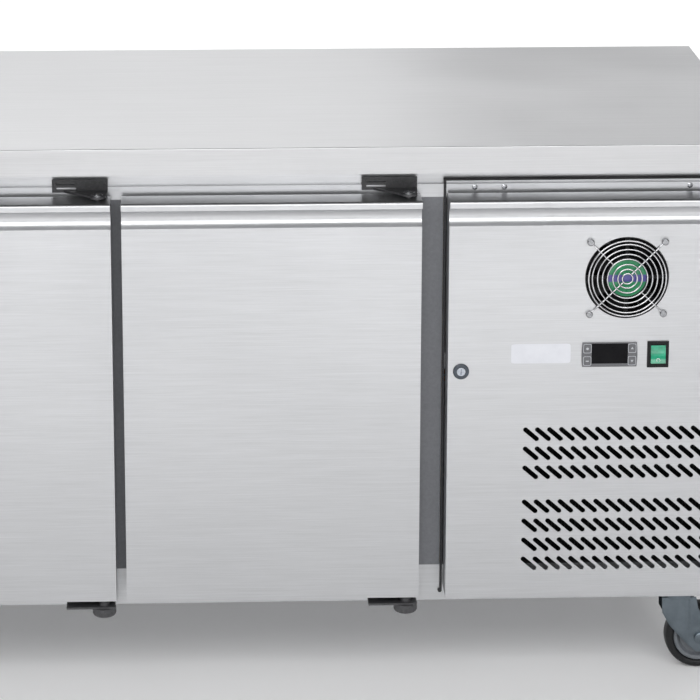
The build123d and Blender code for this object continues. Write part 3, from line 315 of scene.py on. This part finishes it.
def screw_heads(places, facing, radius, rise):
    """Heads on a sheet that faces +Y (1) or -Y (-1). The height falls with the square of the distance
    from the middle, less a cross-shaped dip whose arms are about a quarter as wide as they are long."""
    slot_half_width, slot_reach, slot_depth, dome_fall, skirt = 0.14, 0.62, 0.45, 0.5, 0.2
    share = np.append(np.linspace(0, 1, 12), 1.0)[:, None]
    turn = np.linspace(0, 2 * np.pi, 32, endpoint=False)[None]
    across, up = share * np.cos(turn), share * np.sin(turn)
    near, far = np.minimum(abs(across), abs(up)), np.maximum(abs(across), abs(up))
    in_slot = (near < slot_half_width) & (far < slot_reach)
    level = rise * (1 - dome_fall * share ** 2 - slot_depth * in_slot)
    level[-1] = -skirt * rise
    heads = [np.stack([x + radius * across, y + facing * level, z + radius * up], -1)
             for x, y, z in places]
    return [(head, False, True, (-1,)) for head in heads]


def speckled(name, dark, light, cell, metallic, roughness, dusty=0.0, **constants):
    """A finish with patches about one cell across, between two colours, with hand smudges and dust."""
    material, tree, shader, place = new_material(name, metallic=metallic, **constants)
    patches = shader_node(tree, "ShaderNodeTexNoise", Vector=place, Scale=1.0 / cell, Detail=4.0,
                          Roughness=0.6).outputs[0]
    marks = use_group(tree, handling_marks, Vector=place, Scale=14.0)
    colour = two_tone(tree, spread(tree, patches, 0.0, 1.0, 0.3, 0.7), dark, light)
    if dusty:
        dust = arithmetic(tree, "MULTIPLY", marks["Dust"], dusty)
        colour = two_tone(tree, dust, colour, (0.42, 0.42, 0.41))
    wire_up(tree, shader.inputs["Base Color"], colour)
    dull = blend(tree, marks["Smudge"], 0.5, patches)
    wire_up(tree, shader.inputs["Roughness"], spread(tree, dull, *roughness))
    bump = shader_node(tree, "ShaderNodeBump", Strength=0.15, Distance=min(0.0003, 0.1 * cell),
                       Height=patches)
    wire_up(tree, shader.inputs["Normal"], bump.outputs[0])
    return material


def finish(piece, material, body, slot, *replaced):
    """Gives a piece its finish and the body it rides on, and hides the nodes it stands for. slot: not
    used.
    """
    piece.data.materials.append(material)
    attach(piece, body)
    if replaced:
        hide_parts(*replaced)


screw_zinc = speckled("screw_zinc", (0.5, 0.51, 0.53), (0.68, 0.69, 0.71), 0.002, 1.0, (0.2, 0.34))
screw_radius, screw_rise = 4 * mm, 2.2 * mm
screw_inset, screw_inset_top = 12 * mm, 14 * mm
rear_low, rear_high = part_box("rear_panel")
rear_xs = np.linspace(rear_low.x + screw_inset, rear_high.x - screw_inset, 9)
rear_zs = np.linspace(rear_low.z + screw_inset, rear_high.z - screw_inset_top, 6)
rear_places = [(x, rear_high.y, z) for x in rear_xs for z in (rear_zs[0], rear_zs[-1])]
rear_places += [(x, rear_high.y, z) for x in (rear_xs[0], rear_xs[-1]) for z in rear_zs[1:-1]]
rear_heads = screw_heads(rear_places, 1, screw_radius, screw_rise)
finish(surface("rear_screws", *rear_heads), screw_zinc, "cabinet", "zinc")
rail_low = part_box("front_top_rail")[0]
rail_places = [(x, rail_low.y, rail_low.z + 14 * mm) for x in (0.280, 0.322, 0.585)]
rail_heads = screw_heads(rail_places, -1, screw_radius, screw_rise)
finish(surface("rail_screws", *rail_heads), screw_zinc, "cabinet", "zinc")

# ---------------------------------------------------------------- sheets inside the machine space
# Plain zinc-plated sheet with its faint frosted flakes: bulkhead, base tray, caster plates, fan ring.
zinc_sheet = speckled("zinc_sheet", (0.42, 0.43, 0.45), (0.6, 0.61, 0.63), 0.012, 1.0, (0.32, 0.52),
                      dusty=0.3)
dress(zinc_sheet, "bulkhead_sheet", "unit_base", "caster_plates", "condenser_fan_mount")

# ---------------------------------------------------------------- cold room
# Foamed body with a folded steel liner, a plastic breaker frame round the doors, shelves of coated
# wire on clip-on supports, and the evaporator with its cover and fan behind the centre post.
foam = speckled("foam", (0.72, 0.62, 0.38), (0.83, 0.74, 0.5), 0.002, 0.0, (0.8, 0.95))
liner_steel = brushed_steel("brushed_steel_liner", (4.0, 500.0, 500.0), (0.6, 0.6, 0.61),
                            (0.72, 0.72, 0.73), 0.32, 0.46)
dress(foam, "insulation", "door_left_foam", "door_right_foam")
dress(liner_steel, "inner_liner", "door_left_liner", "door_right_liner", "shelf_supports", "drip_tray")
frame_plastic = speckled("frame_plastic", (0.16, 0.165, 0.18), (0.19, 0.195, 0.21), 0.004, 0.0,
                         (0.4, 0.58), dusty=0.25)
dress(frame_plastic, "breaker_frame")
coated_wire = speckled("coated_wire", (0.6, 0.61, 0.62), (0.68, 0.69, 0.7), 0.006, 0.0, (0.26, 0.4),
                       Coat_Weight=0.3)
dress(coated_wire, "wire_shelf_left", "wire_shelf_right")
fin_aluminium = speckled("fin_aluminium", (0.6, 0.6, 0.6), (0.75, 0.75, 0.75), 0.003, 1.0,
                         (0.34, 0.5))
dress(fin_aluminium, "evaporator_coil")
white_plastic = speckled("white_plastic", (0.7, 0.71, 0.71), (0.76, 0.77, 0.77), 0.01, 0.0,
                         (0.34, 0.5), dusty=0.2)
dress(white_plastic, "evaporator_cover")
black_plastic = speckled("black_plastic", (0.005, 0.005, 0.006), (0.012, 0.012, 0.013), 0.002, 0.0,
                         (0.3, 0.5), dusty=0.12, Specular_IOR_Level=0.2)
dress(black_plastic, "evaporator_fan_frame", "evaporator_fan_rotor", "condenser_fan_blades",
      "fan_frame", "fan_rotor")

# ---------------------------------------------------------------- cooling unit
# Hermetic compressor in black enamel on the base tray, brazed copper pipes, and a condenser whose
# fins are coloured near-black as painted shade, so the vent slots in front of it read dark.
black_enamel = speckled("black_enamel", (0.012, 0.012, 0.013), (0.03, 0.03, 0.03), 0.008, 0.0,
                        (0.16, 0.32), dusty=0.4, Coat_Weight=0.6)
dress(black_enamel, "compressor")
# Near-black fins: painted shade standing in for the dark machine space seen through the vent slots.
fin_painted_shade = speckled("fin_painted_shade", (0.006, 0.006, 0.007), (0.014, 0.014, 0.015), 0.003, 0.0,
                     (0.5, 0.7), dusty=0.15, Specular_IOR_Level=0.25)
dress(fin_painted_shade, "condenser_coil")
copper = speckled("copper", (0.62, 0.27, 0.14), (0.85, 0.43, 0.27), 0.015, 1.0, (0.2, 0.4))
dress(copper, "refrigerant_pipes")

# ---------------------------------------------------------------- doors
# Foamed doors: a folded stainless skin with a pull lip along the top and a liner pan. The gasket is
# an extruded vinyl bellows with a magnet strip at its front, welded at its four corners.
dress(front_steel, "door_left_skin", "door_right_skin")
gasket_vinyl = speckled("gasket_vinyl", (0.17, 0.172, 0.178), (0.2, 0.202, 0.208), 0.004, 0.0,
                        (0.5, 0.68), dusty=0.2)
gasket_width = 18 * mm
# across the gasket from its inner edge, and out from the door, in thousandths of its width and depth
bellows_line = np.array([(0, 60), (60, 0), (940, 0), (1000, 60), (930, 230), (975, 400), (905, 540),
                         (960, 720), (925, 940), (850, 1000), (230, 1000), (110, 950), (70, 760),
                         (140, 580), (55, 420), (100, 230)]) / 1000
inwards_x, inwards_z = np.array([1, -1, -1, 1])[:, None], np.array([1, 1, -1, -1])[:, None]
for side in ("left", "right"):
    low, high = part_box(f"door_{side}_gasket")
    reach = gasket_width * (1 - bellows_line[:, 0])
    corner_x = np.array([low.x, high.x, high.x, low.x])[:, None] + inwards_x * reach
    corner_z = np.array([low.z, low.z, high.z, high.z])[:, None] + inwards_z * reach
    corner_y = np.broadcast_to(low.y + (high.y - low.y) * bellows_line[:, 1], corner_x.shape)
    loops = np.stack([corner_x, corner_y, corner_z], -1)
    bellows = surface(f"door_{side}_bellows", (loops, True, True, ()))
    finish(bellows, gasket_vinyl, f"door_{side}", "grey_rubber", f"door_{side}_gasket")

# ---------------------------------------------------------------- hinges
# Black-painted steel plates and arms. A plated washer and a domed pin head sit on each upper arm.
hinge_paint = speckled("hinge_paint", (0.03, 0.03, 0.033), (0.06, 0.06, 0.064), 0.003, 0.0,
                       (0.32, 0.55), dusty=0.3)
dress(hinge_paint, "upper_hinges", "lower_hinges")
joint_at = {joint["name"]: np.array(joint["pos_m"]) for joint in frame["joints"] if "pos_m" in joint}
arm_top = 758 * mm
washer_line = np.array([(0, 3.4), (2.4, 3.1), (3.8, 2.2), (4.2, 1.5), (7.6, 1.5), (8.2, 1.1),
                        (8.2, -0.2), (0, -0.2)]) * mm
washers = [(turned(washer_line, (*joint_at[hinge][:2], arm_top), "z"), False, True, ())
           for hinge in ("door_left_open", "door_right_open", "access_panel_open")]
finish(surface("hinge_washers", *washers), screw_zinc, "cabinet", "zinc")

# ---------------------------------------------------------------- service panel
# The same folded skin as the doors. A chromed wire guard covers the fan, whose hub carries a printed
# film disc, green with an indigo band. A blank film label is stuck beside the controller.
dress(front_steel, "panel_skin")
seal_rubber = speckled("seal_rubber", (0.012, 0.012, 0.014), (0.024, 0.024, 0.026), 0.003, 0.0,
                       (0.5, 0.7), dusty=0.2)
dress(seal_rubber, "panel_seal")
chrome = speckled("chrome", (0.5, 0.5, 0.515), (0.62, 0.62, 0.635), 0.01, 1.0, (0.1, 0.24))
dress(chrome, "fan_guard")
screw_steel = speckled("screw_steel", (0.2, 0.205, 0.215), (0.36, 0.365, 0.375), 0.003, 1.0,
                       (0.12, 0.26))
dress(screw_steel, "guard_screws")
guard_low, guard_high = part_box("fan_guard")
fan_x, fan_z = (guard_low.x + guard_high.x) / 2, (guard_low.z + guard_high.z) / 2
hub_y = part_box("fan_frame")[0].y
disc_line = np.array([(0, -0.9), (14, -0.85), (26.5, -0.7), (27.5, -0.45), (27.5, 0.2), (0, 0.2)]) * mm
hub_disc = surface("fan_hub_disc", (turned(disc_line, (fan_x, hub_y, fan_z), "y", 64), False, True, ()))
disc_film, tree, shader, place = new_material("disc_film", roughness=0.3, Coat_Weight=0.4)
placed = shader_node(tree, "ShaderNodeMapping", Vector=place,
                     Location=(-fan_x, -hub_y, -fan_z)).outputs[0]
parts_of_place = shader_node(tree, "ShaderNodeSeparateXYZ", Vector=placed)
band_drop, band_half, band_fade = 1 * mm, 4.9 * mm, 5.3 * mm
above_band = arithmetic(tree, "ADD", parts_of_place.outputs["Z"], band_drop)
from_band = arithmetic(tree, "ABSOLUTE", above_band)
band = spread(tree, from_band, 1.0, 0.0, band_half, band_fade)
ink = shader_node(tree, "ShaderNodeTexNoise", Vector=place, Scale=260.0, Detail=3.0).outputs[0]
green = two_tone(tree, ink, (0.008, 0.17, 0.06), (0.02, 0.3, 0.12))
indigo = two_tone(tree, ink, (0.04, 0.04, 0.2), (0.09, 0.08, 0.34))
wire_up(tree, shader.inputs["Base Color"], two_tone(tree, band, green, indigo))
wire_up(tree, shader.inputs["Roughness"], spread(tree, ink, 0.22, 0.4))
finish(hub_disc, disc_film, "service_panel", "green_lens")


def squared_off(wave, power):
    """A cosine or sine raised to a power, its sign kept: it turns a circle into a superellipse."""
    return np.sign(wave) * abs(wave) ** power


# share of the outline, share of the rise
pad_line = ((0.0, -1.0), (0.97, -1.0), (1.0, -0.6), (1.0, 0.5))


def pad(centre, half_x, half_z, power, steps=48, rise=0.3 * mm):
    """A flat-topped pad on a face that looks to -Y: a superellipse outline, |x|^power + |z|^power = 1,
    filled from the middle to the rim and carried down over the edge."""
    turn = np.linspace(0, 2 * np.pi, steps, endpoint=False)
    outline_x = squared_off(np.cos(turn), 2 / power) * half_x
    outline_z = squared_off(np.sin(turn), 2 / power) * half_z
    share, depth = np.array(pad_line).T
    points = np.stack([share[:, None] * outline_x, depth[:, None] * rise + 0 * outline_x,
                       share[:, None] * outline_z], -1)
    return points + np.array(centre), False, True, (-1,)


controller_low, controller_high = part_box("controller_body")
controller_z = (controller_low.z + controller_high.z) / 2
bezel_stands_out = 3 * mm
panel_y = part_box("switch_bezel")[0].y + bezel_stands_out
label_at = (fan_x - 119.7 * mm, panel_y, controller_z + 2 * mm)
label_half_width, label_half_height = 42.3 * mm, 14.4 * mm
label = surface("blank_label", pad(label_at, label_half_width, label_half_height, 14))
label_film = speckled("label_film", (0.6, 0.61, 0.65), (0.65, 0.66, 0.7), 0.02, 0.0, (0.34, 0.5))
finish(label, label_film, "service_panel", "grey_plastic")

# ---------------------------------------------------------------- rear filter
# A mat of black reticulated foam is stuck inside the rear sheet, over the louvres, and keeps dust out
# of the machine space.
filter_foam = speckled("filter_foam", (0.008, 0.008, 0.009), (0.03, 0.03, 0.032), 0.0015, 0.0,
                       (0.8, 0.95))
filter_at = (456 * mm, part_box("rear_panel")[0].y - 1.4 * mm, 352 * mm)
filter_half_width, filter_half_height, filter_thickness = 150 * mm, 152 * mm, 2 * mm
rear_filter = surface("rear_filter", pad(filter_at, filter_half_width, filter_half_height, 16,
                                         rise=filter_thickness))
finish(rear_filter, filter_foam, "cabinet", "foam")

# ---------------------------------------------------------------- controller
# Moulded grey bezel with a smoked window and four soft keys. A pale line is printed round each key,
# and each key has a small raised mark: up and down arrows on the right, a dot and a bar on the left.
bezel_plastic = speckled("bezel_plastic", (0.09, 0.092, 0.1), (0.125, 0.127, 0.135), 0.0012, 0.0,
                         (0.36, 0.54), dusty=0.2)
dress(bezel_plastic, "controller_body")
window_glass = speckled("window_glass", (0.002, 0.002, 0.003), (0.005, 0.005, 0.006), 0.02, 0.0,
                        (0.05, 0.16), Specular_IOR_Level=0.1)
dress(window_glass, "controller_window")
key_rubber = speckled("key_rubber", (0.1, 0.102, 0.11), (0.14, 0.142, 0.15), 0.001, 0.0, (0.5, 0.65))
pale_ink = speckled("pale_ink", (0.42, 0.43, 0.46), (0.5, 0.51, 0.54), 0.001, 0.0, (0.4, 0.5))
key_lines = []
key_corner_power, mark_rise = 0.25, 0.25 * mm
key_turn = np.linspace(0, 2 * np.pi, 48, endpoint=False)
key_x = squared_off(np.cos(key_turn), key_corner_power)
key_z = squared_off(np.sin(key_turn), key_corner_power)
# distance outwards from the key's edge, and depth behind the bezel's face
line_outwards, line_depth = np.array([(0.5, 0.5), (0.5, -0.12), (1.25, -0.12), (1.25, 0.5)]).T * mm
arrow_line = np.array([(0, -0.25), (2.2, -0.25), (2.4, 0.1)]) * mm
for side in ("left", "right"):
    for level in ("upper", "lower"):
        key = f"controller_key_{side}_{level}"
        dress(key_rubber, key)
        low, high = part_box(key)
        middle = np.array(((low.x + high.x) / 2, low.y, (low.z + high.z) / 2))
        outline = np.stack([(high.x - low.x) / 2 * key_x + line_outwards[:, None] * key_x,
                            line_depth[:, None] + 0 * key_x,
                            (high.z - low.z) / 2 * key_z + line_outwards[:, None] * key_z], -1)
        key_lines.append((outline + (middle[0], controller_low.y, middle[2]), True, True, ()))
        if side == "right":
            lean = math.pi / 2 if level == "upper" else -math.pi / 2
            shape = (turned(arrow_line, middle, "y", 3, lean), False, True, (-1,))
        else:
            half_x, half_z = (1.7, 1.7) if level == "upper" else (2.4, 0.8)
            shape = pad(middle, half_x * mm, half_z * mm, 2.4, 24, rise=mark_rise)
        mark = surface(f"key_mark_{side}_{level}", shape)
        finish(mark, pale_ink, f"key_{side}_{level}", "grey_plastic")
finish(surface("key_lines", *key_lines), pale_ink, "service_panel", "grey_plastic")

# ---------------------------------------------------------------- switch
# Black moulded frame, and a rocker of clear green plastic with a small white ring near its foot.
dress(black_plastic, "switch_bezel")
green_lens = speckled("green_lens", (0.0, 0.2, 0.1), (0.01, 0.42, 0.23), 0.014, 0.0, (0.08, 0.2),
                      Coat_Weight=1.0)
dress(green_lens, "switch_rocker")
white_ink = speckled("white_ink", (0.68, 0.7, 0.7), (0.75, 0.77, 0.77), 0.001, 0.0, (0.3, 0.4))
tilt = math.radians(-7)
ring_line = np.array([(2.0, 0.2), (2.1, -0.22), (2.6, -0.22), (2.7, 0.2)]) * mm
ring_centre = (0.0, -5.75 * mm, -8.3 * mm)
ring = turned(ring_line, ring_centre, "y", 32)
tipped = np.array([(1, 0, 0),
                   (0, math.cos(tilt), -math.sin(tilt)),
                   (0, math.sin(tilt), math.cos(tilt))])
ring = ring @ tipped.T + joint_at["rocker_tilt"]
finish(surface("rocker_ring", (ring, True, True, ())), white_ink, "rocker", "grey_plastic")

# ---------------------------------------------------------------- lock
# Cam lock: a blue-black lacquered collar round a plated plug with its key slot.
lock_metal = speckled("lock_metal", (0.3, 0.33, 0.38), (0.5, 0.52, 0.56), 0.004, 1.0, (0.2, 0.35))
dress(lock_metal, "lock_barrel")
lock_black = speckled("lock_black", (0.012, 0.02, 0.032), (0.025, 0.038, 0.055), 0.004, 0.0,
                      (0.18, 0.34), Coat_Weight=0.5)
dress(lock_black, "lock_cylinder")

# ---------------------------------------------------------------- casters
# A pressed fork: a domed crown and two tapering legs, each with a groove pressed down it, plated
# blue-grey. The tyre is black rubber moulded on a grey plastic centre with a raised rim.
fork_zinc = speckled("fork_zinc", (0.12, 0.145, 0.165), (0.17, 0.2, 0.225), 0.03, 1.0, (0.28, 0.4),
                     dusty=0.1)
tyre_rubber = speckled("tyre_rubber", (0.004, 0.004, 0.005), (0.012, 0.012, 0.013), 0.004, 0.0,
                       (0.4, 0.6), dusty=0.1, Specular_IOR_Level=0.35)
centre_plastic = speckled("centre_plastic", (0.1, 0.11, 0.125), (0.15, 0.16, 0.175), 0.006, 0.0,
                          (0.34, 0.52), dusty=0.12)
plate_z = 127 * mm
crown_line = np.array([(5.4, -15), (26, -15), (26, -10), (25, -6.5), (22, -4.6), (17, -3.9),
                       (5.4, -3.9)]) * mm
leg_levels = np.linspace(114, 28, 44)
leg_left = np.interp(leg_levels, (28, 31, 38, 45, 58, 71, 90, 114),
                     (27, 23, 15.5, 9, -3, -14, -24.5, -25.5))
leg_right = np.interp(leg_levels, (28, 31, 38, 48, 62, 80, 96, 114),
                      (37, 42, 47, 49, 47, 38, 29, 25.5))
across = np.linspace(0, 1, 30)
leg_x = leg_left[:, None] + (leg_right - leg_left)[:, None] * across
# the groove and the swell beside it both fade out towards the axle, and the leg's edges roll in
fade = np.clip((leg_levels - 48) / 12, 0, 1)[:, None]
groove_at, groove_width, groove_depth = 14, 1.8, 1.5
swell_at, swell_width, swell_height = -4, 11, 1.1
groove = -groove_depth * np.exp(-((leg_x - groove_at) / groove_width) ** 2) * fade
swell = swell_height * np.exp(-((leg_x - swell_at) / swell_width) ** 2) * fade
edge_width, edge_drop = 0.03, 0.9
edge_roll = -edge_drop * (np.exp(-across / edge_width) + np.exp(-(1 - across) / edge_width))
leg_outer, leg_thickness = 20.0, 2.5
leg_y = leg_outer + (groove + swell) + edge_roll
loop_x = np.hstack([leg_x, leg_x[:, ::-1]])
loop_y = np.hstack([leg_y, leg_y[:, ::-1] - leg_thickness])
loop_z = np.broadcast_to(leg_levels[:, None], loop_x.shape)
nut_seat = 19.4 * mm
nut_line = np.array([(0, 5.4), (7.0, 5.4), (8.3, 4.6), (8.3, 1.2), (10.5, 1.2), (10.5, -0.5),
                     (0, -0.5)]) * mm
tyre_turn = np.linspace(0, 2 * np.pi, 40, endpoint=False)
tyre_middle, tyre_half_depth, tyre_half_width = 43.4, 6.6, 15
tyre_line = np.stack([tyre_middle + tyre_half_depth * squared_off(np.cos(tyre_turn), 0.7),
                      tyre_half_width * squared_off(np.sin(tyre_turn), 0.62)], -1) * mm
half_rim = np.array([(5.3, 17), (11.6, 17), (13, 15.6), (13, 10.5), (15, 8.6), (18, 8.2), (19, 9.2),
                     (21, 9.2), (22, 8.2), (28, 8.4), (30.5, 10.5), (31.5, 13), (33, 13.9),
                     (36.5, 13.9), (37.6, 12.6)])
rim_line = np.vstack([half_rim, half_rim[::-1] * (1, -1)]) * mm
for place_name in ("front_left", "front_right", "rear_left", "rear_right"):
    swivel = joint_at[f"swivel_{place_name}"]
    axle = joint_at[f"wheel_{place_name}_roll"]
    sheets = [(turned(crown_line, (swivel[0], swivel[1], plate_z), "z", 48), True, True, ())]
    for hand in (-1, 1):
        leg = np.stack([loop_x * mm + swivel[0], hand * loop_y * mm + swivel[1], loop_z * mm], -1)
        sheets.append((leg, False, True, (0, -1)))
        nut = turned(nut_line * (1, hand), axle + (0, hand * nut_seat, 0), "y", 36)
        sheets.append((nut, False, True, ()))
    fork = surface(f"caster_{place_name}_pressed_fork", *sheets)
    finish(fork, fork_zinc, f"caster_{place_name}", "zinc", f"caster_fork_{place_name}")
    tyre = surface(f"caster_{place_name}_tyre", (turned(tyre_line, axle, "y", 72), True, True, ()))
    finish(tyre, tyre_rubber, f"wheel_{place_name}", "black_tyre", f"caster_wheel_{place_name}")
    rim = surface(f"caster_{place_name}_rim", (turned(rim_line, axle, "y", 64), True, True, ()))
    finish(rim, centre_plastic, f"wheel_{place_name}", "grey_plastic")
